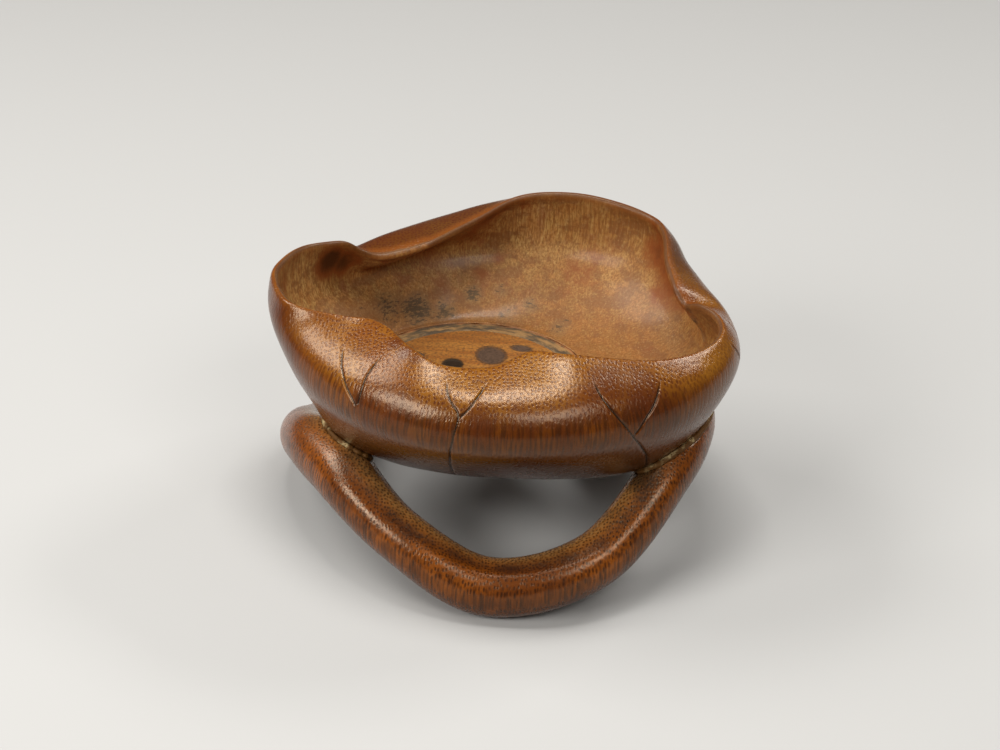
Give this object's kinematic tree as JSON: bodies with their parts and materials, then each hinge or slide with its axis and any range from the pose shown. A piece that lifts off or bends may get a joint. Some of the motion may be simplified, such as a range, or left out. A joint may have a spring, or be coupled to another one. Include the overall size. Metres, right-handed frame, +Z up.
{
  "type": "brush washer",
  "caption": "Lotus-leaf bowl with an in-rolled folded rim and a let-in floor disc, glued and pegged on a leaf stalk bent into a saddle-shaped ring foot.",
  "frame": {"origin": "on the floor under the middle of the washer's box", "axes": "+Z up, -Y towards the front, where the stalk comes down to the floor below the low side of the rim"},
  "size_m": [0.1102, 0.104, 0.0616],
  "materials": {
    "leaf_bamboo": "polished red-brown patina",
    "disc_bamboo": "worn satin",
    "seam_putty": "dull lacquer putty",
    "stalk_bamboo": "polished dark red-brown patina",
    "old_glue": "dull dried glue",
    "peg_bamboo": "sawn"
  },
  "bodies": {
    "root": {"leaf_bowl": "leaf_bamboo", "floor_disc": "disc_bamboo", "floor_seam": "seam_putty", "stalk_foot": "stalk_bamboo", "seat_glue_left": "old_glue", "seat_glue_right": "old_glue", "peg_left": "peg_bamboo", "peg_right": "peg_bamboo"}
  },
  "joints": []
}
